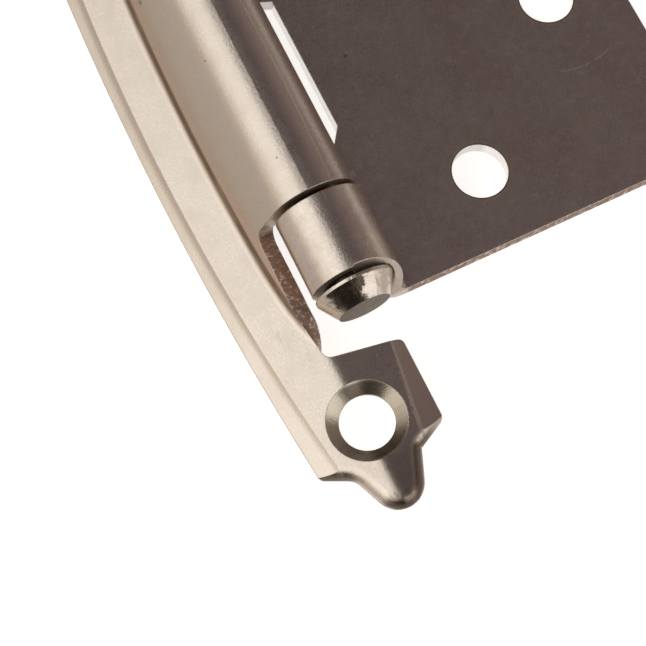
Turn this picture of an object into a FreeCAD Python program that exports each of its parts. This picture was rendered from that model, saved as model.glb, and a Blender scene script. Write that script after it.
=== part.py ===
"""Spring loaded cabinet door hinge, in millimetres.

Frame: the back face of the frame wing lies on z = 0 and +Z points out of it, towards the viewer.
The barrel runs along Y, and the door leaf lies on the +X side. The origin is the middle of the
frame wing's two screw holes. The hinge is shown at rest, with the leaf pulled against its stop.
"""
import FreeCAD, Part
import math
import os

V = FreeCAD.Vector

# Overall and fixing sizes
overall_length = 70.0
screw_end_distance = 7.3
screw_hole_radius = 2.22
countersink_radius = 3.2
countersink_depth = 0.95

# Frame wing: a bowed plate with a raised field, ending in two pointed tabs
wing_sheet = 1.35
edge_reach = 6.85
edge_bow_radius = 296.0
field_reach = 5.73
field_left_radius = 208.0
field_right_radius = 194.0
band_drop = 0.5
right_band_splay = 0.6
tab_length = 13.07
tab_reach = 5.38
tab_top_angle = 11.0
tab_corner_radius = 0.5
shoulder_angle = 26.5
shoulder_corner_radius = 0.6
nose_length = 4.9
nose_tip_radius = 2.1
nose_flank_angle = 22.0
nose_left_root_radius = 1.5
nose_right_root_radius = 0.3
border_radius = 1.0

# Barrel
barrel_x = 3.6
barrel_height = 4.15
hood_radius = 3.75
hood_wrap_end = -68.0
hood_step = 0.5
knuckle_length = 6.45
knuckle_gap = 0.37

# Slope between the plate and the hood. Its foot is a shallow arc that dives in near the tabs
valley_x = -2.55
valley_bow = 0.96
valley_dive_power = 8
valley_radius = 0.6

# Slit beside each knuckle, rounded at the hood and flared where it opens to the end tab
slit_gap = 1.15
slit_round_length = 1.3
slit_round_width = 0.5
slit_round_start = 20.0
slit_flare_length = 3.9
slit_flare_slope = 0.17
slit_end_margin = 0.75
slit_corner_radius = 0.8
round_steps = 6
straight_steps = 5
flare_steps = 4
ridge_steps = 7

# Door leaf
leaf_sheet = 1.35
leaf_drop = 2.3
leaf_tilt = 7.95
leaf_reach = 32.8
leaf_margin = 1.93
leaf_corner_radius = 1.2
leaf_hole_radius = 2.3
leaf_hole_b = 14.15
leaf_hole_margin = 6.35
leaf_outer_hole_margin = 6.3
leaf_outer_hole_a = -1.9
root_gap = 0.75
bulge = 0.5
bulge_start = 120.0
curl_end = 285.0
fold_radius = 0.6
flare_top_drop = 0.3
notch_depth_b = 5.4
notch_low_land = 4.07
notch_low_angle = 55.0
notch_high_land = 3.74
notch_high_angle = 20.0

# Pin
pin_fit = 0.02
head_step = 0.02
head_bevel = 1.06
head_rim = 0.28
head_length = 1.95
head_gap = 0.55
head_clearance = 0.1
head_to_tab = 1.61
flat_end_gap = 1.5

# Closing spring, a hairpin strip
spring_strip = 0.4
spring_end_gap = 2.0
spring_grip = 0.02
spring_clearance = 0.112
spring_leg_gap = 0.167
spring_bend = 2.1

# Sizes worked out from those above: the hood takes up what the tabs and knuckles leave
half_length = overall_length / 2
shoulder_y = half_length - nose_length
screw_y = half_length - screw_end_distance
tab_top_y = half_length - tab_length
head_end = tab_top_y - head_to_tab
knuckle_end = head_end - head_length - head_gap
knuckle_start = knuckle_end - knuckle_length
hood_end = knuckle_start - knuckle_gap
slit_x = barrel_x - hood_radius - slit_gap
ridge_end = tab_top_y - slit_end_margin
flare_start = tab_top_y - slit_flare_length
leaf_half = knuckle_end + leaf_margin
knuckle_radius = hood_radius - hood_step
bore_radius = knuckle_radius - leaf_sheet
pin_radius = bore_radius - pin_fit
head_radius = knuckle_radius - head_step
head_end_radius = head_radius - head_bevel
leaf_outer_hole_b = leaf_reach - leaf_outer_hole_margin
cutter_reach = 3 * hood_radius
axis_point = V(barrel_x, 0, barrel_height)


def polar(radius, degrees, centre=(0.0, 0.0)):
    """Point of a section at a radius and angle from a centre."""
    angle = math.radians(degrees)
    return (centre[0] + radius * math.cos(angle), centre[1] + radius * math.sin(angle))


def in_section(point, y=0.0):
    """A section point (x, z) as a point in space."""
    return V(point[0], y, point[1])


def arc(centre, radius, start, end, place):
    """Arc edge about a section centre, from start to end degrees, placed by place()."""
    middle = (start + end) / 2
    points = [place(polar(radius, angle, centre)) for angle in (start, middle, end)]
    return Part.Arc(*points).toShape()


def line(first, last, place):
    """Straight edge between two section points."""
    return Part.makeLine(place(first), place(last))


def prism(wire, depth):
    """Solid between a flat wire and its copy moved by depth."""
    return Part.Face(wire).extrude(depth)


def polygon(points):
    """Closed wire through points in space."""
    return Part.makePolygon(list(points) + [points[0]])


def mirrored(shape):
    """The shape's copy on the other side of the middle plane y = 0."""
    return shape.mirror(V(0, 0, 0), V(0, 1, 0))


# Frame wing

def bow(reach, radius, y):
    """Distance of a shallow arc from the screw line at a height y along it."""
    return reach - radius + math.sqrt(radius ** 2 - y ** 2)


def bowed_edge(side, reach, radius, z, start, end):
    """Arc edge of the wing in a plan plane; side is -1 on the left and 1 on the right."""
    points = [V(side * bow(reach, radius, y), y, z) for y in (start, (start + end) / 2, end)]
    return Part.Arc(*points).toShape()


def shoulder_line(x):
    """Height of the lower shoulder line, which runs alike on both sides, at a distance x."""
    return -shoulder_y - (tab_reach - x) * math.tan(math.radians(shoulder_angle))


def nose_points():
    """Root of the lower nose on the right, and where its flank touches the round tip."""
    flank = math.radians(nose_flank_angle)
    touch_x = nose_tip_radius * math.cos(flank)
    touch_y = -half_length + nose_tip_radius - nose_tip_radius * math.sin(flank)
    steep = 1 / math.tan(flank)
    slope = math.tan(math.radians(shoulder_angle))
    root_x = (touch_x * steep - touch_y + shoulder_line(0.0)) / (steep - slope)
    return V(root_x, shoulder_line(root_x), 0), V(touch_x, touch_y, 0)


def left_corner():
    """Where the bowed left edge meets the shoulder line."""
    y = -shoulder_y
    for pass_number in range(12):
        y = shoulder_line(bow(edge_reach, edge_bow_radius, y))
    return V(-bow(edge_reach, edge_bow_radius, y), y, 0)


def across(point):
    """A point's copy on the other side of the hole line x = 0."""
    return V(-point.x, point.y, point.z)


def nose_edges(left, right):
    """Outline of the lower tab's end between two points of its shoulder lines."""
    root, touch = nose_points()
    return [
        Part.makeLine(left, across(root)),
        Part.makeLine(across(root), across(touch)),
        Part.Arc(across(touch), V(0, -half_length, 0), touch).toShape(),
        Part.makeLine(touch, root),
        Part.makeLine(root, right),
    ]


def tab_top_line(x):
    """Point of the tab's sloping upper edge."""
    return V(x, -tab_top_y - (x - slit_end_x()) * math.tan(math.radians(tab_top_angle)), 0)


def slit_end_x():
    """Where the slit's flared side meets the tab's upper edge."""
    return slit_x + slit_flare_length * slit_flare_slope


def sheet_prism(edges):
    """Flat plate of the wing's sheet on an outline of edges."""
    return prism(Part.Wire(Part.__sortEdges__(edges)), V(0, 0, wing_sheet))


def tab_plan(plate_right):
    """Lower half of the flat plate as a plain prism with its outer corners rounded."""
    left = left_corner()
    right = V(tab_reach, -shoulder_y, 0)
    near = tab_top_line(tab_reach)
    slit_corner = V(slit_end_x(), -tab_top_y, 0)
    slit_side = V(slit_plan(ridge_end), -ridge_end, 0)
    inside = V(plate_right, -ridge_end, 0)
    middle = V(plate_right, 0, 0)
    outline = nose_edges(left, right) + [
        Part.makeLine(right, near),
        Part.makeLine(near, slit_corner),
        Part.makeLine(slit_corner, slit_side),
        Part.makeLine(slit_side, inside),
        Part.makeLine(inside, middle),
        Part.makeLine(middle, V(-edge_reach, 0, 0)),
        bowed_edge(-1, edge_reach, edge_bow_radius, 0, 0, left.y),
    ]
    plan = rounded_roots(sheet_prism(outline))
    plan = rounded_at(plan, left, shoulder_corner_radius)
    plan = rounded_at(plan, right, shoulder_corner_radius)
    plan = rounded_at(plan, near, tab_corner_radius)
    return rounded_at(plan, slit_corner, slit_corner_radius)


def bordered_plate():
    """Oversize plate whose lower end has the tab's nose and shoulders with their rolled border."""
    far = 2 * edge_reach
    right = V(far, shoulder_line(far), 0)
    top_right = V(far, 1, 0)
    outline = nose_edges(across(right), right) + [
        Part.makeLine(right, top_right),
        Part.makeLine(top_right, across(top_right)),
        Part.makeLine(across(top_right), across(right)),
    ]
    plate = rounded_roots(sheet_prism(outline))
    return plate.makeFillet(border_radius, [edge for edge in plate.Edges if is_border(edge)])


def rounded_roots(plate):
    """The plate with the inner corners between shoulders and nose rounded."""
    root = nose_points()[0]
    plate = rounded_at(plate, across(root), nose_left_root_radius)
    return rounded_at(plate, root, nose_right_root_radius)


def rounded_at(plate, point, radius):
    """The plate with its upright edge over a point rounded."""
    return plate.makeFillet(radius, [edge for edge in plate.Edges if is_upright_at(edge, point)])


def is_upright(edge):
    """True for an edge that runs straight up the sheet."""
    box = edge.BoundBox
    return box.XLength < 1e-4 and box.YLength < 1e-4


def is_upright_at(edge, point):
    """True for the upright edge over a point."""
    box = edge.BoundBox
    return is_upright(edge) and abs(box.XMin - point.x) < 0.01 and abs(box.YMin - point.y) < 0.01


def is_border(edge):
    """True for the top edges round the nose and the shoulders."""
    box = edge.BoundBox
    side = abs(box.XMin) > edge_reach and box.XLength < 1e-3
    return box.ZMin > wing_sheet - 1e-4 and box.YMax < 0 and not side


def band_cutter(inner, outer, side):
    """Solid above a sloped side band, from the field's edge down past the outer edge."""
    ramp = Part.makeRuledSurface(inner, outer)
    beyond = Part.makeRuledSurface(outer, outer.translated(V(side * edge_reach, 0, 0)))
    lift = V(0, 0, wing_sheet * 2)
    return ramp.extrude(lift).fuse(beyond.extrude(lift))


def left_band_cutter():
    """Sloped band down the wing's bowed left side."""
    start = wing_sheet
    end = -half_length
    inner = bowed_edge(-1, field_reach, field_left_radius, wing_sheet, start, end)
    outer = bowed_edge(-1, edge_reach, edge_bow_radius, wing_sheet - band_drop, start, end)
    return band_cutter(inner, outer, -1)


def right_band_cutter():
    """Sloped band down the tab's outer side."""
    start = -hood_end
    end = -half_length
    inner = bowed_edge(1, field_reach, field_right_radius, wing_sheet, start, end)
    low = wing_sheet - band_drop
    outer = Part.makeLine(V(tab_reach + right_band_splay, start, low), V(tab_reach, end, low))
    return band_cutter(inner, outer, 1)


def valley_at(y):
    """Where the slope's straight flank meets the plate's top face; it ends beyond the slit."""
    share = abs(y) / ridge_end
    dive = slit_plan(ridge_end) + valley_radius - valley_x - valley_bow
    return valley_x + valley_bow * share ** 2 + dive * share ** valley_dive_power


def slope_angle(y):
    """Angle of the flank that starts in the valley and touches the hood's outer circle."""
    run = barrel_x - valley_at(y)
    rise = barrel_height - wing_sheet
    reach = math.hypot(run, rise)
    return math.degrees(math.atan2(rise, run) + math.asin(hood_radius / reach))


def flank_section(y, plate_left, top_end, inner_end, crown):
    """Wire of the sheet's section at y: plate, valley bend and flank, closed by crown's edges."""
    def place(point):
        return in_section(point, y)

    angle = slope_angle(y)
    pull = valley_radius * math.tan(math.radians(angle / 2))
    bend_x = valley_at(y) - pull
    centre = (bend_x, wing_sheet + valley_radius)
    outer = valley_radius + wing_sheet
    edges = [
        line((plate_left, wing_sheet), (bend_x, wing_sheet), place),
        arc(centre, valley_radius, -90.0, angle - 90.0, place),
        line(polar(valley_radius, angle - 90.0, centre), top_end, place),
    ]
    edges += crown
    edges += [
        line(inner_end, polar(outer, angle - 90.0, centre), place),
        arc(centre, outer, angle - 90.0, -90.0, place),
        line((bend_x, 0.0), (plate_left, 0.0), place),
        line((plate_left, 0.0), (plate_left, wing_sheet), place),
    ]
    return Part.Wire(edges)


def hood_section(y, plate_left):
    """Section through the middle knuckle: the flank runs on into the hood round the pin."""
    def place(point):
        return in_section(point, y)

    centre = (barrel_x, barrel_height)
    inner_radius = hood_radius - wing_sheet
    start = 90.0 + slope_angle(y)
    crown = [
        arc(centre, hood_radius, start, 90.0, place),
        arc(centre, hood_radius, 90.0, hood_wrap_end, place),
        line(polar(hood_radius, hood_wrap_end, centre), polar(inner_radius, hood_wrap_end, centre), place),
        arc(centre, inner_radius, hood_wrap_end, 90.0, place),
        arc(centre, inner_radius, 90.0, start, place),
    ]
    top_end = polar(hood_radius, start, centre)
    inner_end = polar(inner_radius, start, centre)
    return flank_section(y, plate_left, top_end, inner_end, crown)


def ridge_section(y, plate_left):
    """Section beside a knuckle: the flank alone, before the slit trims it."""
    centre = (barrel_x, barrel_height)
    start = 90.0 + slope_angle(y)
    top_end = polar(hood_radius, start, centre)
    inner_end = polar(hood_radius - wing_sheet, start, centre)
    cap = [Part.makeLine(in_section(top_end, y), in_section(inner_end, y))]
    return flank_section(y, plate_left, top_end, inner_end, cap)


def slit_plan(distance):
    """Where the slit cuts the sheet, at a distance along the barrel past its rounded corner."""
    return slit_x + max(0.0, distance - flare_start) * slit_flare_slope


def slit_course():
    """Plan points (x, distance along the barrel) of the slit's side, from the hood to the tab."""
    course = []
    first = math.cos(math.radians(slit_round_start))
    for step in range(round_steps + 1):
        angle = math.radians(slit_round_start + (90.0 - slit_round_start) * step / round_steps)
        distance = hood_end + slit_round_length * (first - math.cos(angle))
        course.append((slit_x + slit_round_width * (1 - math.sin(angle)), distance))
    round_end = course[-1][1]
    for step in range(1, straight_steps):
        distance = round_end + (flare_start - round_end) * step / straight_steps
        course.append((slit_x, distance))
    for step in range(1, flare_steps + 1):
        distance = flare_start + (ridge_end - flare_start) * step / flare_steps
        course.append((slit_plan(distance), distance))
    return course


def cut_point(x, y):
    """Point of the bent sheet's top face, and the sheet's own angle there."""
    angle = slope_angle(y)
    pull = valley_radius * math.tan(math.radians(angle / 2))
    bend_x = valley_at(y) - pull
    flank_x = bend_x + valley_radius * math.sin(math.radians(angle))
    if x >= flank_x:
        rise = (x - valley_at(y)) * math.tan(math.radians(angle))
        return V(x, y, wing_sheet + rise), angle
    share = max(0.0, (x - bend_x) / valley_radius)
    local = math.degrees(math.asin(share))
    rise = valley_radius * (1 - math.cos(math.radians(local)))
    return V(x, y, wing_sheet + rise), local


def slit_cutter():
    """Lower slit beside the knuckle, cut square to the bent sheet."""
    beyond = V(2 * cutter_reach, 0, 0)
    lift = V(0, 0, 2 * cutter_reach)
    sections = []
    for x, distance in slit_course():
        point, angle = cut_point(x, -distance)
        square = V(math.sin(math.radians(angle)), 0, -math.cos(math.radians(angle))) * cutter_reach
        above = point - square
        below = point + square
        sections.append(polygon([above, below, below + beyond - lift, above + beyond + lift]))
    return Part.makeLoft(sections, True, True)


def screw_cutter(y):
    """Countersunk screw hole in a tab."""
    deep = wing_sheet - countersink_depth
    shank = Part.makeCylinder(screw_hole_radius, wing_sheet * 2, V(0, y, -wing_sheet / 2))
    sink = Part.makeCone(screw_hole_radius, countersink_radius, countersink_depth, V(0, y, deep))
    return shank.fuse(sink)


def frame_wing():
    """The formed sheet that screws to the cabinet."""
    plate_right = valley_x - 2 * valley_radius
    plate_left = plate_right - valley_radius
    tab = tab_plan(plate_right).common(bordered_plate())
    tab = tab.cut(left_band_cutter())
    tab = tab.cut(right_band_cutter())
    tab = tab.cut(screw_cutter(-screw_y))

    stations = [hood_end + (ridge_end - hood_end) * step / ridge_steps for step in range(ridge_steps + 1)]
    ridge = Part.makeLoft([ridge_section(-y, plate_left) for y in stations], True, False)
    half = tab.fuse(ridge.cut(slit_cutter()))

    stations = [hood_end * share for share in (-1.0, -0.5, 0.0, 0.5, 1.0)]
    hood = Part.makeLoft([hood_section(y, plate_left) for y in stations], True, False)
    wing = hood.fuse([half, mirrored(half)])
    return wing.removeSplitter()


# Door leaf, modelled flat about the barrel's axis and then tilted to its rest angle

def leaf_place(y):
    """Places a section point (b, n), measured from the barrel's axis, at a height y."""
    def place(point):
        return V(point[0], y, point[1])
    return place


def knuckle_wire(y):
    """Section of a rolled knuckle: it rises from the leaf, bulges, and curls round the pin."""
    place = leaf_place(y)
    bulge_centre = polar(bulge, bulge_start - 180.0)
    outer = knuckle_radius + bulge
    inner = outer - leaf_sheet
    fold_n = -leaf_drop + fold_radius
    reach = outer + fold_radius
    fold_b = bulge_centre[0] + math.sqrt(reach ** 2 - (fold_n - bulge_centre[1]) ** 2)
    fold = (fold_b, fold_n)
    meet = math.degrees(math.atan2(fold_n - bulge_centre[1], fold_b - bulge_centre[0]))
    root_b = fold_b + leaf_sheet
    bottom = -leaf_drop - leaf_sheet
    bend = fold_radius + leaf_sheet
    edges = [
        line((root_b, -leaf_drop), (fold_b, -leaf_drop), place),
        arc(fold, fold_radius, 270.0, 180.0 + meet, place),
        arc(bulge_centre, outer, meet, bulge_start, place),
        arc((0.0, 0.0), knuckle_radius, bulge_start, curl_end, place),
        line(polar(knuckle_radius, curl_end), polar(bore_radius, curl_end), place),
        arc((0.0, 0.0), bore_radius, curl_end, bulge_start, place),
        arc(bulge_centre, inner, bulge_start, meet, place),
        arc(fold, bend, 180.0 + meet, 270.0, place),
        line((fold_b, bottom), (root_b, bottom), place),
        line((root_b, bottom), (root_b, -leaf_drop), place),
    ]
    return Part.Wire(edges), fold_b


def knuckle_trim(fold_b):
    """Cuts the lower knuckle's outer end: square on the curl, flared to the leaf's own edge."""
    size = 3 * knuckle_radius
    curl = Part.makeBox(size, size, size, V(-size, -knuckle_end - size, -size / 2))
    lip = Part.makeBox(bore_radius + pin_fit, size, size, V(-pin_fit, -knuckle_end - size, -size))
    top = knuckle_radius - flare_top_drop
    slope = (leaf_half - knuckle_end) / (top + leaf_drop)
    high = -knuckle_end + slope * (size - top)
    low = -knuckle_end - slope * (size + top)
    away = -leaf_half - 3 * size
    side = polygon([V(0, high, size), V(0, away, size), V(0, away, -size), V(0, low, -size)])
    return curl.fuse([lip, prism(side, V(fold_b, 0, 0))])


def head_recess():
    """Room for the lower pin head where the flared end of its knuckle passes it."""
    start = -knuckle_end - head_gap + head_clearance
    return Part.makeCylinder(head_radius + head_clearance, 2 * leaf_margin, V(0, start, 0), V(0, -1, 0))


def leaf_prism(points):
    """Prism of the leaf's sheet on plan points (b, a)."""
    bottom = -leaf_drop - leaf_sheet
    return prism(polygon([V(b, a, bottom) for b, a in points]), V(0, 0, leaf_sheet))


def leaf_plate(root_b, fold_b):
    """The flat leaf without its knuckles; between them it reaches in to the hood."""
    plate = leaf_prism([
        (root_b, -knuckle_start),
        (root_b, knuckle_start),
        (fold_b, knuckle_start),
        (fold_b, leaf_half),
        (leaf_reach, leaf_half),
        (leaf_reach, -leaf_half),
        (fold_b, -leaf_half),
        (fold_b, -knuckle_start),
    ])
    corners = [edge for edge in plate.Edges if is_upright(edge) and edge.BoundBox.XMin > leaf_reach - 0.01]
    return plate.makeFillet(leaf_corner_radius, corners)


def notch_cutter(root_b):
    """Notch that clears the hood: a wedge between two slanted ends, stopped at the notch's depth."""
    low = notch_low_land - knuckle_start
    high = knuckle_start - notch_high_land
    low_slope = math.tan(math.radians(notch_low_angle))
    high_slope = math.tan(math.radians(notch_high_angle))
    apex = (high - low) / (low_slope + high_slope)
    before = root_b - knuckle_radius
    wedge = leaf_prism([
        (before, low - knuckle_radius * low_slope),
        (root_b + apex, low + apex * low_slope),
        (before, high + knuckle_radius * high_slope),
    ])
    stop = leaf_prism([
        (before, -leaf_half),
        (notch_depth_b, -leaf_half),
        (notch_depth_b, leaf_half),
        (before, leaf_half),
    ])
    return wedge.common(stop)


def door_leaf():
    """The flat leaf with its two rolled knuckles."""
    root_b = math.sqrt((hood_radius + root_gap) ** 2 - leaf_drop ** 2)
    wire, fold_b = knuckle_wire(-leaf_half)
    plate = leaf_plate(root_b, fold_b).cut(notch_cutter(root_b))
    knuckle = prism(wire, V(0, leaf_half - knuckle_start, 0)).cut(knuckle_trim(fold_b))
    leaf = plate.fuse([knuckle, mirrored(knuckle)])
    recess = head_recess()
    leaf = leaf.cut([recess, mirrored(recess)])
    hole_a = leaf_half - leaf_hole_margin
    holes = [(leaf_hole_b, -hole_a), (leaf_hole_b, hole_a), (leaf_outer_hole_b, leaf_outer_hole_a)]
    for b, a in holes:
        start = V(b, a, -leaf_drop - 2 * leaf_sheet)
        leaf = leaf.cut(Part.makeCylinder(leaf_hole_radius, 3 * leaf_sheet, start))
    leaf = leaf.removeSplitter()
    leaf.rotate(V(0, 0, 0), V(0, 1, 0), leaf_tilt)
    leaf.translate(axis_point)
    return leaf


# Pin and spring, modelled about the barrel's axis

def head_profile():
    """Half section of one pin head, as points (radius, distance from the pin's middle)."""
    start = head_end - head_length
    rim = start + head_rim
    return [(pin_radius, start), (head_radius, start), (head_radius, rim), (head_end_radius, head_end)]


def flat_reach():
    """Half the distance between the pin's flats: the strip's leg beside it clears the hood's end."""
    turn = math.radians(slope_angle(0.0) - hood_wrap_end)
    wrap_end = (hood_radius - wing_sheet) * math.sin(turn)
    return wrap_end - spring_leg_gap - spring_strip - spring_grip


def flat_cutter(side):
    """Removes the pin on one side of a flat; the flats lie along the slope's direction."""
    size = 2 * knuckle_radius
    reach = hood_end - flat_end_gap
    low = flat_reach() if side > 0 else -flat_reach() - size
    return Part.makeBox(size * 2, reach * 2, size, V(-size, -reach, low))


def hinge_pin():
    """Turned pin with two bevelled heads and two flats inside the hood."""
    head = head_profile()
    upper = [(0.0, head[-1][1])] + head[::-1]
    lower = [(r, -y) for r, y in head] + [(0.0, -head[-1][1])]
    wire = polygon([V(r, y, 0) for r, y in upper + lower])
    pin = Part.Face(wire).revolve(V(0, 0, 0), V(0, 1, 0), 360)
    pin = pin.cut(flat_cutter(1)).cut(flat_cutter(-1))
    return seat_on_axis(pin)


def seat_on_axis(shape):
    """Turns a shape from its own section frame to the slope's direction and moves it to the axis."""
    shape.rotate(V(0, 0, 0), V(0, 1, 0), -slope_angle(0.0))
    shape.translate(axis_point)
    return shape


def closing_spring():
    """Hairpin strip: two legs on the pin's flats and a bend in the hollow under the slope."""
    reach = hood_end - spring_end_gap
    place = leaf_place(-reach)
    inner = flat_reach() + spring_grip
    outer = inner + spring_strip
    spring_tip = math.sqrt((hood_radius - wing_sheet - spring_clearance) ** 2 - outer ** 2)
    bend = (-spring_bend, 0.0)
    edges = [
        line((spring_tip, outer), (-spring_bend, outer), place),
        arc(bend, outer, 90.0, 270.0, place),
        line((-spring_bend, -outer), (spring_tip, -outer), place),
        line((spring_tip, -outer), (spring_tip, -inner), place),
        line((spring_tip, -inner), (-spring_bend, -inner), place),
        arc(bend, inner, 270.0, 90.0, place),
        line((-spring_bend, inner), (spring_tip, inner), place),
        line((spring_tip, inner), (spring_tip, outer), place),
    ]
    return seat_on_axis(prism(Part.Wire(edges), V(0, reach * 2, 0)))


def build():
    """Writes one STEP file per piece."""
    os.makedirs("parts", exist_ok=True)
    pieces = {
        "frame_wing": frame_wing(),
        "door_leaf": door_leaf(),
        "hinge_pin": hinge_pin(),
        "closing_spring": closing_spring(),
    }
    for name, shape in pieces.items():
        shape.exportStep("parts/" + name + ".step")
        print(name, "valid", shape.isValid(), "solids", len(shape.Solids), "volume", round(shape.Volume, 2))


build()
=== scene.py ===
"""Look, light and camera of the spring loaded door hinge.

Sizes in the materials are millimetres, as in the part's source. Everything else is in metres.
"""
import math

import bpy
from mathutils import Matrix, Vector


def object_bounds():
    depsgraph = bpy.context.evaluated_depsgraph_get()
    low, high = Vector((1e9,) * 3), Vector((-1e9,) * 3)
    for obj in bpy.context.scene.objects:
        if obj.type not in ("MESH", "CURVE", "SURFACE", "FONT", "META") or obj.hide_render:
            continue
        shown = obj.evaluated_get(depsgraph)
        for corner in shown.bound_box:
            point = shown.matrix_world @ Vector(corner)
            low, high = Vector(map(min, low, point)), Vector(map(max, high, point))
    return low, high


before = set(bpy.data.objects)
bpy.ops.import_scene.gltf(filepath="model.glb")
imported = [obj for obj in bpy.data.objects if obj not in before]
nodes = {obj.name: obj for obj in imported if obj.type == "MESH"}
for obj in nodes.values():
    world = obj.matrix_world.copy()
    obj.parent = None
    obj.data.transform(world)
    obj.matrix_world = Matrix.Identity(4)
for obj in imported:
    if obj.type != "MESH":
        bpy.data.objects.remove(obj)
cad_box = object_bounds()

# Sizes and places on the hinge that the materials refer to, in mm
AXIS_X = 3.6
AXIS_Z = 4.15
SHEET = 1.35
HOOD_END = 11.0
SLIT_END = 21.6
HEAD_START = 18.37
FIELD_REACH = 5.73
FIELD_LEFT_RADIUS = 208.0
FIELD_RIGHT_RADIUS = 194.0
VALLEY_X = -2.55
VALLEY_END = 21.18
VALLEY_BOW = 0.96
VALLEY_DIVE = 1.4255
VALLEY_DIVE_POWER = 8.0
WING_HOLE_Y = 27.7
SINK_REACH = 4.1
LEAF_TILT = math.radians(7.95)
LEAF_NORMAL = (math.sin(LEAF_TILT), 0.0, math.cos(LEAF_TILT))
LEAF_START = AXIS_X + 6.2
LEAF_HOLES = [(17.296, -13.4, -0.085), (17.296, 13.4, -0.085), (29.527, -1.9, -1.793)]
LEAF_HOLE_RADIUS = 2.3

# Shading relief of the pressed wing, in mm: its tabs' crown, its left band's cove, its right ridge
CROWN_X = -0.25
CROWN_SLOPE = 0.19
CROWN_BLEND = 1.6
COVE_WIDTH = 0.4
COVE_SLOPE = -0.22
COVE_OUTER_SLOPE = 0.06
RIDGE_WIDTH = 0.16
RIDGE_SLOPE = 0.05
RIDGE_EXTRA_SLOPE = 0.13

# Fine relief in mm, and the satin finish
SPECKLE_HEIGHT = 0.017
DRAWN_HEIGHT = 0.0012
SCRATCH_DEPTH = 0.002
CUT_HEIGHT = 0.05
SATIN_ROUGHNESS = 0.30
SCRATCH_RADIUS = 6.8

# Rounding of all edges in the shading, and one mm as bump distance, in metres
EDGE_SOFTENING = 0.00012
ONE_MM = 0.001

# Colours of the nickel plate, and a nearly white painted reflection for the leaf's opening walls
NICKEL = (0.70, 0.615, 0.525)
# Warm nickel of random patches, also laid on the left flank as a painted warm reflection
NICKEL_WARM = (0.64, 0.54, 0.44)
NICKEL_BRIGHT = (0.86, 0.80, 0.73)
NICKEL_PURPLE = (0.60, 0.47, 0.43)
NICKEL_OLIVE = (0.74, 0.66, 0.46)
# Nearly white painted reflection for the walls of the leaf's holes and notch
PAINTED_WALL_REFLECTION = (0.98, 0.97, 0.95)
SCRATCHED = (1.0, 0.92, 0.86)

# Colours of raw, stained and soiled metal, and of painted shade and painted highlights
CUT_METAL = (0.34, 0.23, 0.18)
CUT_SPECK = (0.80, 0.70, 0.62)
# Dark crease colour: partly tarnish, partly painted shade in the valley's hollow
CREASE_TARNISH_AND_SHADE = (0.21, 0.135, 0.10)
# Pinkish painted highlight along the foot of the flank
PAINTED_FLANK_HIGHLIGHT = (0.80, 0.63, 0.53)
# Dark painted shade on the rims round the tabs' ends
PAINTED_RIM_SHADE = (0.13, 0.095, 0.07)
# Brown painted shade on the nose's right half and the wing's right band
PAINTED_RIGHT_SHADE = (0.34, 0.26, 0.22)
# Dark painted shade at the very tip of the noses
PAINTED_TIP_SHADE = (0.16, 0.115, 0.085)
SINK_OLIVE = (0.42, 0.37, 0.28)
# Brown painted shade on the hood's end faces, in the gap beside the knuckles
PAINTED_HOOD_END_SHADE = (0.28, 0.20, 0.15)
# Olive painted highlight on the lit outer rims of the knuckle ends
PAINTED_KNUCKLE_END_HIGHLIGHT = (0.70, 0.58, 0.43)
HEAD_BROWN = (0.20, 0.165, 0.13)
TARNISH = (0.30, 0.23, 0.19)
# Nearly black painted shade for a patch on the pin heads' bevels
PAINTED_BEVEL_SHADE = (0.06, 0.042, 0.03)
# Dark colour for a grimy mark on the wing, and for painted shade in the gaps round the pin
GRIME_AND_PAINTED_SHADE = (0.10, 0.07, 0.05)
RUST = (0.62, 0.27, 0.11)
RUST_PALE = (0.66, 0.40, 0.24)
SPRING_GREY = (0.30, 0.29, 0.29)
SPRING_BROWN = (0.20, 0.17, 0.16)

# Small marks, and a few painted glints on the leaf: middle and radius in mm, and colour
WING_MARKS = [
    ((3.0, -23.5, 1.35), 0.13, NICKEL_BRIGHT),
    ((3.4, -24.6, 1.35), 0.10, RUST),
    ((-0.4, -34.8, 0.8), 0.55, RUST_PALE),
    ((1.1, 2.4, 7.0), 0.14, TARNISH),
    ((0.6, -3.1, 6.4), 0.10, TARNISH),
    ((2.6, -7.6, 7.7), 0.12, TARNISH),
    ((-1.2, 11.0, 3.3), 0.30, GRIME_AND_PAINTED_SHADE),
]
LEAF_MARKS_AND_GLINTS = [
    ((12.0, 0.2, 0.65), 0.22, RUST),
    # Painted glints: bright spots where the leaf's root meets the knuckle
    ((7.8, -9.3, 1.2), 0.45, NICKEL_BRIGHT),
    ((7.9, -10.4, 1.2), 0.22, NICKEL_BRIGHT),
    ((7.3, -19.4, 1.3), 0.32, NICKEL_BRIGHT),
    ((4.5, -14.2, 7.3), 0.10, NICKEL_BRIGHT),
]
PIN_MARKS = [
    ((3.4, -18.9, 7.3), 0.12, RUST),
]

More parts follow.
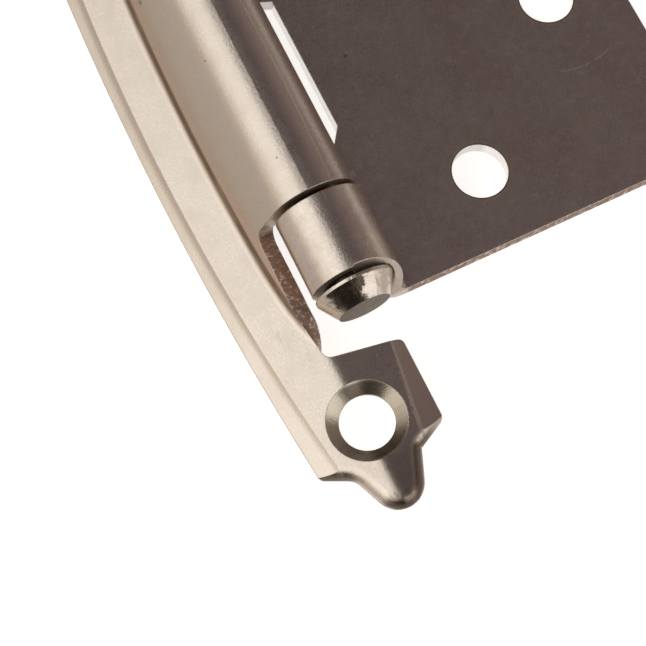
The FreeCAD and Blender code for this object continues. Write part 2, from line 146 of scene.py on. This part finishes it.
# The room's light by roll about the barrel's direction, in degrees from straight up to the right
SOFT_BOX = (1.25, 1.24, 1.23)
ROOM = [
    (-125, (0.45, 0.345, 0.305)),
    (-94, (0.57, 0.48, 0.43)),
    (-80, (0.61, 0.54, 0.49)),
    (-69, (0.83, 0.77, 0.71)),
    (-58, (1.08, 1.05, 1.0)),
    (-46, SOFT_BOX),
    (-8.5, SOFT_BOX),
    (-0.5, (0.10, 0.08, 0.087)),
    (31, (0.095, 0.076, 0.084)),
    (48, (0.165, 0.13, 0.135)),
    (62, (0.225, 0.18, 0.18)),
    (78, (0.25, 0.205, 0.19)),
    (96, (0.33, 0.265, 0.23)),
    (125, (0.33, 0.275, 0.25)),
]
ROOM_TURN = 0.0122
ROOM_LEAN = -0.03
FRONT_DARK = (0.085, 0.07, 0.06)
BACK_DIM = (0.17, 0.14, 0.12)

# Strength of the room's light at its middle, its change towards the back, and its limit
ROOM_GAIN = 1.18
ROOM_GAIN_SLOPE = -0.55
ROOM_GAIN_LIMIT = 1.10

# Floor: colour, lift to white, share of the lift in flat reflections, half width, gap below the part
FLOOR_COLOUR = (0.82, 0.80, 0.78)
FLOOR_LIFT = 0.72
FLOOR_FAR_SHARE = 0.15
FLOOR_REACH = 1.5
FLOOR_GAP = 0.00005

# Camera at the photograph's viewpoint; its lens and sensor are in mm
CAMERA_PLACE = (-0.00663, -0.04811, 0.12367)
CAMERA_AHEAD = (0.0557, 0.2291, -0.9718)
CAMERA_UP = (0.4405, 0.8675, 0.2299)
CAMERA_LENS = 89.76
CAMERA_SENSOR = 36.0


class Shader:
    """Small helper that adds and links nodes in one node tree."""

    def __init__(self, tree):
        self.tree = tree
        tree.nodes.clear()

    def node(self, kind, **settings):
        made = self.tree.nodes.new(kind)
        for key, value in settings.items():
            setattr(made, key, value)
        return made

    def link(self, source, target):
        if isinstance(source, (int, float)):
            target.default_value = source
        elif isinstance(source, tuple):
            size = len(target.default_value)
            target.default_value = tuple(source) + (1.0,) * (size - len(source))
        else:
            self.tree.links.new(source, target)

    def math(self, operation, first, second=0.0, third=0.0):
        made = self.node("ShaderNodeMath", operation=operation)
        for source, target in zip((first, second, third), made.inputs):
            self.link(source, target)
        return made.outputs[0]

    def size(self, value):
        return self.math("ABSOLUTE", value)

    def product(self, first, *others):
        total = first
        for other in others:
            total = self.math("MULTIPLY", total, other)
        return total

    def distance(self, across, along):
        """Length of the line whose two legs are given."""
        squares = [self.math("POWER", self.size(leg), 2.0) for leg in (across, along)]
        return self.math("SQRT", self.math("ADD", *squares))

    def step(self, value, low, high):
        """Smooth 0 to 1 as value goes from low to high, which may run downwards."""
        made = self.node("ShaderNodeMapRange", interpolation_type="SMOOTHSTEP")
        self.link(value, made.inputs["Value"])
        made.inputs["From Min"].default_value = low
        made.inputs["From Max"].default_value = high
        return made.outputs["Result"]

    def mix(self, share, first, second):
        made = self.node("ShaderNodeMix", data_type="RGBA")
        self.link(share, made.inputs[0])
        self.link(first, made.inputs[6])
        self.link(second, made.inputs[7])
        return made.outputs[2]

    def vector(self, operation, first, second=(0.0, 0.0, 0.0)):
        made = self.node("ShaderNodeVectorMath", operation=operation)
        self.link(first, made.inputs[0])
        self.link(second, made.inputs[1])
        return made.outputs["Value"] if operation in ("DOT_PRODUCT", "DISTANCE") else made.outputs[0]

    def noise(self, place, scale, detail=2.0, roughness=0.5):
        made = self.node("ShaderNodeTexNoise")
        self.link(place, made.inputs["Vector"])
        made.inputs["Scale"].default_value = scale
        made.inputs["Detail"].default_value = detail
        made.inputs["Roughness"].default_value = roughness
        return made.outputs[0]

    def streaks(self, place, scale, detail, roughness, turn=0.0):
        """Noise with its own scale along each axis, turned about Z by an angle in radians."""
        made = self.node("ShaderNodeMapping")
        self.link(place, made.inputs["Vector"])
        made.inputs["Rotation"].default_value = (0.0, 0.0, turn)
        made.inputs["Scale"].default_value = scale
        return self.noise(made.outputs[0], 1.0, detail, roughness)

    def any_of(self, first, *others):
        total = first
        for other in others:
            total = self.math("MAXIMUM", total, other)
        return total


def new_material(name):
    """An empty node material and the helper for its node tree."""
    material = bpy.data.materials.new(name)
    material.use_nodes = True
    return material, Shader(material.node_tree)


def place_and_normal(s):
    """Object coordinates in mm, their parts, and the object-space normal with its parts."""
    coordinates = s.node("ShaderNodeTexCoord")
    place = s.vector("MULTIPLY", coordinates.outputs["Object"], (1000.0, 1000.0, 1000.0))
    parts = s.node("ShaderNodeSeparateXYZ")
    s.link(place, parts.inputs[0])
    facing = s.node("ShaderNodeSeparateXYZ")
    s.link(coordinates.outputs["Normal"], facing.inputs[0])
    return place, parts.outputs, coordinates.outputs["Normal"], facing.outputs


def plate_colour(s, place, patches, speckle, grain, mottle):
    """Nickel's colour: warmer patches, blotches where it is mottled, and fine bright specks."""
    colour = s.mix(s.product(s.step(patches, 0.45, 0.75), 0.35), NICKEL, NICKEL_WARM)
    if mottle:
        blotches = s.noise(place, 1.5, 3.0, 0.62)
        clouds = s.noise(s.vector("ADD", place, (31.0, 7.0, 0.0)), 0.16, 2.0, 0.5)
        colour = s.mix(s.product(s.step(clouds, 0.42, 0.66), mottle), colour, NICKEL_PURPLE)
        colour = s.mix(s.product(s.step(blotches, 0.50, 0.72), mottle), colour, NICKEL_BRIGHT)
        colour = s.mix(s.product(s.step(blotches, 0.48, 0.28), mottle), colour, NICKEL_PURPLE)
    return s.mix(s.product(s.step(speckle, 0.60, 0.74), 0.10 * grain), colour, NICKEL_BRIGHT)


def plate_roughness(s, facing, patches, speckle, scratches, grain):
    """Satin finish, uneven in patches and specks, and duller in scratches and on faces across the barrel."""
    rough = s.math("MULTIPLY_ADD", s.math("SUBTRACT", patches, 0.5), 0.12, SATIN_ROUGHNESS)
    rough = s.math("MULTIPLY_ADD", s.math("SUBTRACT", speckle, 0.5), 0.2 * grain, rough)
    rough = s.math("MULTIPLY_ADD", scratches, 0.10, rough)
    return s.math("MULTIPLY_ADD", s.step(s.size(facing[1]), 0.7, 0.9), 0.25, rough)


def marked(s, place, speckle, colour, marks):
    """The colour with small ragged marks on it."""
    for middle, radius, tint in marks:
        spot = s.math("DIVIDE", s.vector("DISTANCE", place, middle), radius)
        spot = s.math("ADD", spot, s.product(s.math("SUBTRACT", speckle, 0.5), 2.4))
        colour = s.mix(s.step(spot, 1.0, 0.5), colour, tint)
    return colour


def nickel(name, cuts=None, stains=None, marks=(), shape=None, grain=1.0, mottle=0.0, hammer=0.0):
    """Satin nickel plate with fine grain, scratches, marks, stains, painted highlights and shade, and raw
    cut faces.
    """
    material, s = new_material(name)
    place, at, normal, facing = place_and_normal(s)
    surface = s.node("ShaderNodeBsdfPrincipled")
    surface.inputs["Metallic"].default_value = 1.0

    patches = s.noise(place, 0.45, 3.0, 0.6)
    speckle = s.noise(place, 5.0, 3.0, 0.6)
    drawn = s.streaks(place, (6.0, 0.15, 6.0), 3.0, 0.6)
    handled = s.streaks(place, (9.0, 0.35, 9.0), 2.0, 0.5, turn=0.9)
    scratches = s.product(s.step(handled, 0.70, 0.74), s.step(patches, 0.48, 0.6))

    colour = plate_colour(s, place, patches, speckle, grain, mottle)
    rough = plate_roughness(s, facing, patches, speckle, scratches, grain)
    height = s.product(speckle, SPECKLE_HEIGHT * grain)
    height = s.math("MULTIPLY_ADD", drawn, DRAWN_HEIGHT, height)
    height = s.math("MULTIPLY_ADD", scratches, -SCRATCH_DEPTH, height)
    if hammer:
        height = s.math("MULTIPLY_ADD", s.noise(place, 1.4, 2.0, 0.5), hammer, height)
    if shape is not None:
        height = s.math("ADD", shape(s, at), height)

    colour = marked(s, place, speckle, colour, marks)
    # The stains carry painted shade, highlights and reflections into the colour as well
    if stains is not None:
        for share, tint in stains(s, place, at, normal, facing):
            colour = s.mix(share, colour, tint)
    if cuts is not None:
        cut = cuts(s, at, normal, facing)
        torn = s.streaks(place, (2.2, 2.8, 1.0), 4.0, 0.7)
        colour = s.mix(cut, colour, s.mix(s.step(torn, 0.50, 0.66), CUT_METAL, CUT_SPECK))
        rough = s.math("MULTIPLY_ADD", cut, 0.12, rough)
        height = s.math("MULTIPLY_ADD", s.product(torn, cut), CUT_HEIGHT, height)

    s.link(colour, surface.inputs["Base Color"])
    s.link(rough, surface.inputs["Roughness"])
    bevel = s.node("ShaderNodeBevel", samples=6)
    bevel.inputs["Radius"].default_value = EDGE_SOFTENING
    bump = s.node("ShaderNodeBump")
    bump.inputs["Strength"].default_value = 1.0
    bump.inputs["Distance"].default_value = ONE_MM
    s.link(height, bump.inputs["Height"])
    s.link(bevel.outputs[0], bump.inputs["Normal"])
    s.link(bump.outputs[0], surface.inputs["Normal"])
    s.link(surface.outputs[0], s.node("ShaderNodeOutputMaterial").inputs[0])
    return material


def valley_line(s, at):
    """Distance to the right of the crease between the wing's field and its flank."""
    share = s.math("DIVIDE", s.size(at[1]), VALLEY_END)
    bow = s.product(s.math("POWER", share, 2.0), VALLEY_BOW)
    dive = s.product(s.math("POWER", share, VALLEY_DIVE_POWER), VALLEY_DIVE)
    return s.math("SUBTRACT", at[0], s.math("ADD", s.math("ADD", bow, dive), VALLEY_X))


def field_edge(s, at, side, radius):
    """Distance beyond the field's bowed edge, on the side -1 or 1."""
    bow = s.math("DIVIDE", s.math("POWER", s.size(at[1]), 2.0), 2.0 * radius)
    return s.math("ADD", s.math("MULTIPLY_ADD", at[0], side, -FIELD_REACH), bow)


def wing_shape(s, at):
    """Crown, band cove and right ridge of the pressed wing."""
    off = s.math("SUBTRACT", at[0], CROWN_X)
    tab = s.product(s.math("SMOOTH_MAX", off, s.product(off, -1.0), CROWN_BLEND), -1.0)
    field = s.math("SMOOTH_MIN", valley_line(s, at), 0.0, 0.5)
    on_tab = s.step(s.size(at[1]), 18.0, 21.5)
    crown = s.math("MULTIPLY_ADD", s.math("SUBTRACT", tab, field), on_tab, field)
    height = s.product(crown, CROWN_SLOPE)

    out = field_edge(s, at, -1.0, FIELD_LEFT_RADIUS)
    near = s.math("SMOOTH_MIN", s.math("SMOOTH_MAX", out, 0.0, 0.1), COVE_WIDTH, 0.4)
    far = s.math("SMOOTH_MAX", s.math("SUBTRACT", out, COVE_WIDTH), 0.0, 0.4)
    height = s.math("MULTIPLY_ADD", near, COVE_SLOPE, height)
    height = s.math("MULTIPLY_ADD", far, COVE_OUTER_SLOPE, height)

    ridge = s.size(field_edge(s, at, 1.0, FIELD_RIGHT_RADIUS))
    ridge = s.math("SMOOTH_MAX", s.math("SUBTRACT", RIDGE_WIDTH, ridge), 0.0, 0.1)
    worn = s.step(s.size(at[1]), 21.0, 28.0)
    slope = s.math("MULTIPLY_ADD", worn, RIDGE_EXTRA_SLOPE, RIDGE_SLOPE)
    return s.math("MULTIPLY_ADD", ridge, slope, height)


def valley_tarnish_and_painted_light(s, at, top, uneven):
    """Pinkish painted highlight, and a dark crease that is partly tarnish and partly painted shade, beside
    the flank's foot.
    """
    right = valley_line(s, at)
    inside = s.step(s.size(at[1]), 20.5, 18.5)
    broken = s.math("MULTIPLY_ADD", s.step(uneven, 0.3, 0.6), 0.35, 0.65)
    strength = s.product(inside, broken, top)
    # Dark crease: tarnish with painted shade where the valley is hollow
    crease = s.product(s.step(right, -0.05, 0.25), s.step(right, 0.52, 0.38))
    # Pinkish painted highlight just right of the crease
    glow = s.product(s.step(right, 0.40, 0.52), s.step(right, 1.0, 0.6))
    return [
        (s.product(glow, strength, 0.65), PAINTED_FLANK_HIGHLIGHT),
        (s.product(crease, strength, 0.85), CREASE_TARNISH_AND_SHADE),
    ]


def tab_stains_and_shade(s, at, facing, top, uneven):
    """Browner nose, tip and right band as painted shade, dull countersinks, and dark rims round the tabs'
    ends as painted shade.
    """
    along = s.size(at[1])
    # Painted shade: the right half of each nose and the wing's right band are browned
    nose = s.product(s.step(along, 28.5, 33.0), s.step(at[0], -0.8, 0.3))
    band = s.product(s.step(field_edge(s, at, 1.0, FIELD_RIGHT_RADIUS), 0.05, 0.3), top, 0.6)
    # Painted shade darkening the very tip of each nose
    tip = s.step(s.math("MULTIPLY_ADD", s.math("SUBTRACT", uneven, 0.5), 2.0, along), 33.5, 34.4)
    beyond = [s.size(s.math("SUBTRACT", along, WING_HOLE_Y)), s.size(at[0])]
    sunk = s.product(*[s.step(reach, SINK_REACH + 0.2, SINK_REACH) for reach in beyond])
    sunk = s.product(sunk, s.step(facing[2], 0.5, 0.6), s.step(facing[2], 0.88, 0.8))
    low = s.step(at[2], SHEET - 0.02, SHEET - 0.2)
    # Painted shade on the low rims facing the front and left, and on right-facing faces beside the nose
    rim = s.product(s.step(s.size(facing[1]), 0.35, 0.7), s.step(facing[0], 0.35, 0.05), low)
    flank = s.product(s.step(facing[0], 0.12, 0.4), s.step(along, 30.2, 31.0))
    return [
        (s.product(s.any_of(nose, band), 0.6), PAINTED_RIGHT_SHADE),
        (s.product(tip, 0.75), PAINTED_TIP_SHADE),
        (s.product(sunk, 0.6), SINK_OLIVE),
        (s.product(s.any_of(rim, flank), 0.85), PAINTED_RIM_SHADE),
    ]


def wing_stains_and_painted_light(s, place, at, normal, facing):
    """Painted warm reflection on the left flank, the stains, painted highlight and painted shade of the
    valley and the tabs, and painted shade on the hood's brown ends.
    """
    top = s.step(facing[2], 0.1, 0.3)
    uneven = s.streaks(place, (1.5, 0.25, 1.5), 3.0, 0.6)
    # Painted shade on the hood's end faces, in the gap beside the knuckles
    end = s.product(s.step(s.size(facing[1]), 0.6, 0.8), s.step(at[0], 0.6, 1.6))
    end = s.product(end, s.step(at[2], SHEET + 0.2, SHEET + 0.4))
    # Painted warm reflection on faces turned to the left, mostly the flank
    painted = [(s.product(s.step(facing[0], -0.6, -0.85), 0.6), NICKEL_WARM)]
    painted += valley_tarnish_and_painted_light(s, at, top, uneven)
    painted += tab_stains_and_shade(s, at, facing, top, uneven)
    painted.append((end, PAINTED_HOOD_END_SHADE))
    return painted


def wing_cuts(s, at, normal, facing):
    """The frame wing's sheared faces: the sides of its outline and the slit walls."""
    upright = s.step(s.size(facing[2]), 0.35, 0.2)
    outline = s.product(upright, s.step(at[2], SHEET + 0.05, SHEET), s.step(s.size(facing[1]), 0.7, 0.35))
    along = s.size(at[1])
    beside = s.product(s.step(along, HOOD_END, HOOD_END + 0.05), s.step(along, SLIT_END, SLIT_END - 0.2))
    slit = s.product(beside, s.step(facing[0], 0.25, 0.4), s.step(at[0], 1.0, 0.8))
    return s.any_of(s.product(outline, 0.7), slit)


def leaf_opening(s, at):
    """One in the leaf's screw holes and in the notch between its knuckles."""
    notch = s.product(s.step(at[0], AXIS_X + 3.6, AXIS_X + 3.9), s.step(at[0], LEAF_START + 0.2, LEAF_START))
    opening = s.product(notch, s.step(s.size(at[1]), HOOD_END + 2.0, HOOD_END + 1.5))
    for hole in LEAF_HOLES:
        out = s.distance(s.math("SUBTRACT", at[0], hole[0]), s.math("SUBTRACT", at[1], hole[1]))
        opening = s.any_of(opening, s.step(out, LEAF_HOLE_RADIUS + 0.6, LEAF_HOLE_RADIUS + 0.4))
    return opening


def leaf_wall(s, normal):
    """One on the leaf's upright faces."""
    return s.step(s.size(s.vector("DOT_PRODUCT", normal, LEAF_NORMAL)), 0.4, 0.2)


def knuckle_painted_light(s, at, facing):
    """Painted highlight in olive on the outer rims of the knuckle ends, and painted shade round the pin
    inside them.
    """
    end = s.step(s.size(facing[1]), 0.6, 0.8)
    radius = s.distance(s.math("SUBTRACT", at[0], AXIS_X), s.math("SUBTRACT", at[2], AXIS_Z))
    # The curl's outer rim up and to the left, where the olive painted highlight goes
    rolled = s.product(s.step(radius, 3.3, 3.15), s.step(at[0], AXIS_X + 2.4, AXIS_X + 1.2))
    return [
        (s.product(end, rolled), PAINTED_KNUCKLE_END_HIGHLIGHT),
        # Painted shade on the knuckle ends round the pin
        (s.product(end, s.step(radius, 2.4, 2.2)), GRIME_AND_PAINTED_SHADE),
    ]


def leaf_scratch(s, place, at):
    """Share of a broken scratch that runs round the outer screw hole, below it."""
    off = s.size(s.math("SUBTRACT", s.vector("DISTANCE", place, LEAF_HOLES[2]), SCRATCH_RADIUS))
    length = s.product(s.step(at[0], 26.4, 27.8), s.step(at[0], 32.8, 31.4), s.step(at[1], -4.0, -5.0))
    broken = s.step(s.noise(place, 1.5, 2.0, 0.5), 0.35, 0.5)
    return s.product(s.step(off, 0.10, 0.02), length, broken)


def leaf_stains_and_painted_light(s, place, at, normal, facing):
    """Painted white reflection on the opening walls, burnished rings round the holes, painted highlight and
    painted shade on the dull knuckle ends, and a scratch.
    """
    flat = s.step(s.vector("DOT_PRODUCT", normal, LEAF_NORMAL), 0.8, 0.95)
    # Painted reflection: the walls of the holes and the notch are made nearly white
    painted = [(s.product(leaf_wall(s, normal), leaf_opening(s, at), 0.9), PAINTED_WALL_REFLECTION)]
    for hole in LEAF_HOLES:
        out = s.math("SUBTRACT", s.vector("DISTANCE", place, hole), LEAF_HOLE_RADIUS)
        painted.append((s.product(s.step(out, 0.5, 0.15), flat, 0.7), NICKEL_OLIVE))
        painted.append((s.product(s.step(out, 0.14, 0.05), flat), TARNISH))
    painted += knuckle_painted_light(s, at, facing)
    painted.append((s.product(leaf_scratch(s, place, at), flat, 0.8), SCRATCHED))
    return painted


def leaf_cuts(s, at, normal, facing):
    """The door leaf's sheared outline, without its plated holes and notch."""
    outer = s.step(at[0], LEAF_START, LEAF_START + 0.2)
    ends = s.product(s.step(s.size(facing[1]), 0.5, 0.7), s.step(at[0], 7.4, 7.8))
    edge = s.product(leaf_wall(s, normal), s.any_of(outer, ends))
    return s.product(edge, s.math("SUBTRACT", 1.0, leaf_opening(s, at)))


def pin_stains_and_shade(s, place, at, normal, facing):
    """Painted shade as a dark patch on the heads' bevels, their brown turned ends, and painted shade on the
    shank.
    """
    slant = s.size(facing[1])
    around = s.math("ARCTAN2", s.math("SUBTRACT", at[0], AXIS_X), s.math("SUBTRACT", at[2], AXIS_Z))
    around = s.math("MULTIPLY_ADD", s.math("SUBTRACT", s.noise(place, 1.6, 4.0, 0.65), 0.5), 1.2, around)
    # Painted shade: a dark patch on the upper left of the heads' bevels
    patch = s.product(s.step(around, -1.05, -0.75), s.step(around, 0.3, 0.1))
    bevel = s.product(s.step(slant, 0.25, 0.5), s.step(slant, 0.98, 0.94))
    return [
        (s.product(patch, bevel, 0.95), PAINTED_BEVEL_SHADE),
        (s.step(slant, 0.96, 0.99), HEAD_BROWN),
        # Painted shade on the shank, in the gaps beside the heads
        (s.step(s.size(at[1]), HEAD_START + 0.05, HEAD_START), GRIME_AND_PAINTED_SHADE),
    ]


def spring_steel(name):
    """Dark oiled spring strip with a rolled grain."""
    material, s = new_material(name)
    place = place_and_normal(s)[0]
    surface = s.node("ShaderNodeBsdfPrincipled")
    surface.inputs["Metallic"].default_value = 1.0
    grain = s.streaks(place, (9.0, 0.4, 9.0), 3.0, 0.6)
    stain = s.noise(place, 0.5, 3.0, 0.6)
    s.link(s.mix(s.step(stain, 0.4, 0.7), SPRING_GREY, SPRING_BROWN), surface.inputs["Base Color"])
    s.link(s.math("MULTIPLY_ADD", grain, 0.25, 0.2), surface.inputs["Roughness"])
    bump = s.node("ShaderNodeBump")
    bump.inputs["Strength"].default_value = 0.3
    bump.inputs["Distance"].default_value = 0.01 * ONE_MM
    s.link(grain, bump.inputs["Height"])
    s.link(bump.outputs[0], surface.inputs["Normal"])
    s.link(surface.outputs[0], s.node("ShaderNodeOutputMaterial").inputs[0])
    return material


def floor_material():
    """Pale matt table, lifted to white where it is seen directly, through glass or in metal."""
    material, s = new_material("floor")
    diffuse = s.node("ShaderNodeBsdfDiffuse")
    s.link(FLOOR_COLOUR, diffuse.inputs["Color"])
    glow = s.node("ShaderNodeEmission")
    rays = s.node("ShaderNodeLightPath").outputs
    steep = s.step(s.node("ShaderNodeLayerWeight").outputs["Facing"], 0.5, 0.15)
    mirrored = s.math("MULTIPLY_ADD", steep, 1.0 - FLOOR_FAR_SHARE, FLOOR_FAR_SHARE)
    mirrored = s.product(rays["Is Glossy Ray"], mirrored)
    seen = s.any_of(rays["Is Camera Ray"], mirrored, rays["Is Transmission Ray"])
    s.link(s.product(seen, FLOOR_LIFT), glow.inputs["Strength"])
    both = s.node("ShaderNodeAddShader")
    s.link(diffuse.outputs[0], both.inputs[0])
    s.link(glow.outputs[0], both.inputs[1])
    s.link(both.outputs[0], s.node("ShaderNodeOutputMaterial").inputs[0])
    return material


def ramp(s, value, stops):
    """Colour ramp through stops of a position and a colour."""
    made = s.node("ShaderNodeValToRGB")
    s.link(value, made.inputs[0])
    elements = made.color_ramp.elements
    while len(elements) < len(stops):
        elements.new(0.5)
    for element, (position, colour) in zip(elements, stops):
        element.position = position
        element.color = tuple(colour) + (1.0,)
    return made.outputs[0]


def studio(s, x, y, z):
    """Soft room light by direction: a wide soft box up and to the left, a dim side on the right."""
    middle = s.math("MULTIPLY_ADD", y, ROOM_LEAN, 0.5 + ROOM_TURN)
    turn = s.math("MULTIPLY_ADD", s.math("ARCTAN2", x, z), 0.5 / math.pi, middle)
    around = ramp(s, turn, [(0.5 + degrees / 360.0, colour) for degrees, colour in ROOM])
    front = s.mix(s.step(x, -0.02, 0.2), FRONT_DARK, SOFT_BOX)
    back = s.mix(s.step(y, 0.6, 0.85), around, BACK_DIM)
    return s.mix(s.step(y, -0.35, -0.6), back, front)


def light_world():
    """World that holds the room, a little stronger towards the front."""
    world = bpy.data.worlds.new("studio")
    world.use_nodes = True
    bpy.context.scene.world = world
    s = Shader(world.node_tree)
    direction = s.node("ShaderNodeSeparateXYZ")
    s.link(s.node("ShaderNodeTexCoord").outputs["Generated"], direction.inputs[0])
    x, y, z = direction.outputs
    background = s.node("ShaderNodeBackground")
    s.link(studio(s, x, y, z), background.inputs["Color"])
    gain = s.math("MULTIPLY_ADD", y, ROOM_GAIN_SLOPE, ROOM_GAIN)
    s.link(s.math("MINIMUM", gain, ROOM_GAIN_LIMIT), background.inputs["Strength"])
    s.link(background.outputs[0], s.node("ShaderNodeOutputWorld").inputs[0])


def add_floor():
    """Plain floor just under the hinge."""
    low = cad_box[0].z - FLOOR_GAP
    signs = [(-1, -1), (1, -1), (1, 1), (-1, 1)]
    mesh = bpy.data.meshes.new("floor")
    mesh.from_pydata([(i * FLOOR_REACH, j * FLOOR_REACH, low) for i, j in signs], [], [(0, 1, 2, 3)])
    floor = bpy.data.objects.new("floor", mesh)
    bpy.context.scene.collection.objects.link(floor)
    mesh.materials.append(floor_material())


def add_camera():
    """Camera at the photograph's viewpoint."""
    data = bpy.data.cameras.new("camera")
    data.sensor_fit = "HORIZONTAL"
    data.sensor_width = CAMERA_SENSOR
    data.lens = CAMERA_LENS
    data.clip_start = 0.005
    data.clip_end = 20.0
    camera = bpy.data.objects.new("camera", data)
    bpy.context.scene.collection.objects.link(camera)
    ahead = Vector(CAMERA_AHEAD).normalized()
    right = ahead.cross(Vector(CAMERA_UP)).normalized()
    up = right.cross(ahead)
    turn = Matrix((right, up, -ahead)).transposed().to_4x4()
    camera.matrix_world = Matrix.Translation(Vector(CAMERA_PLACE)) @ turn
    bpy.context.scene.camera = camera


def dress():
    """Gives each piece of the part its material."""
    looks = {
        "frame_wing": nickel("wing_nickel", wing_cuts, wing_stains_and_painted_light, WING_MARKS, wing_shape),
        "door_leaf": nickel("leaf_nickel", leaf_cuts, leaf_stains_and_painted_light, LEAF_MARKS_AND_GLINTS, mottle=0.4),
        "hinge_pin": nickel("pin_nickel", None, pin_stains_and_shade, PIN_MARKS, grain=0.7, hammer=0.09),
        "closing_spring": spring_steel("spring_steel"),
    }
    for name, material in looks.items():
        slots = nodes[name].data.materials
        slots.clear()
        slots.append(material)


add_camera()
light_world()
add_floor()
dress()
bpy.context.scene.view_settings.view_transform = "Standard"
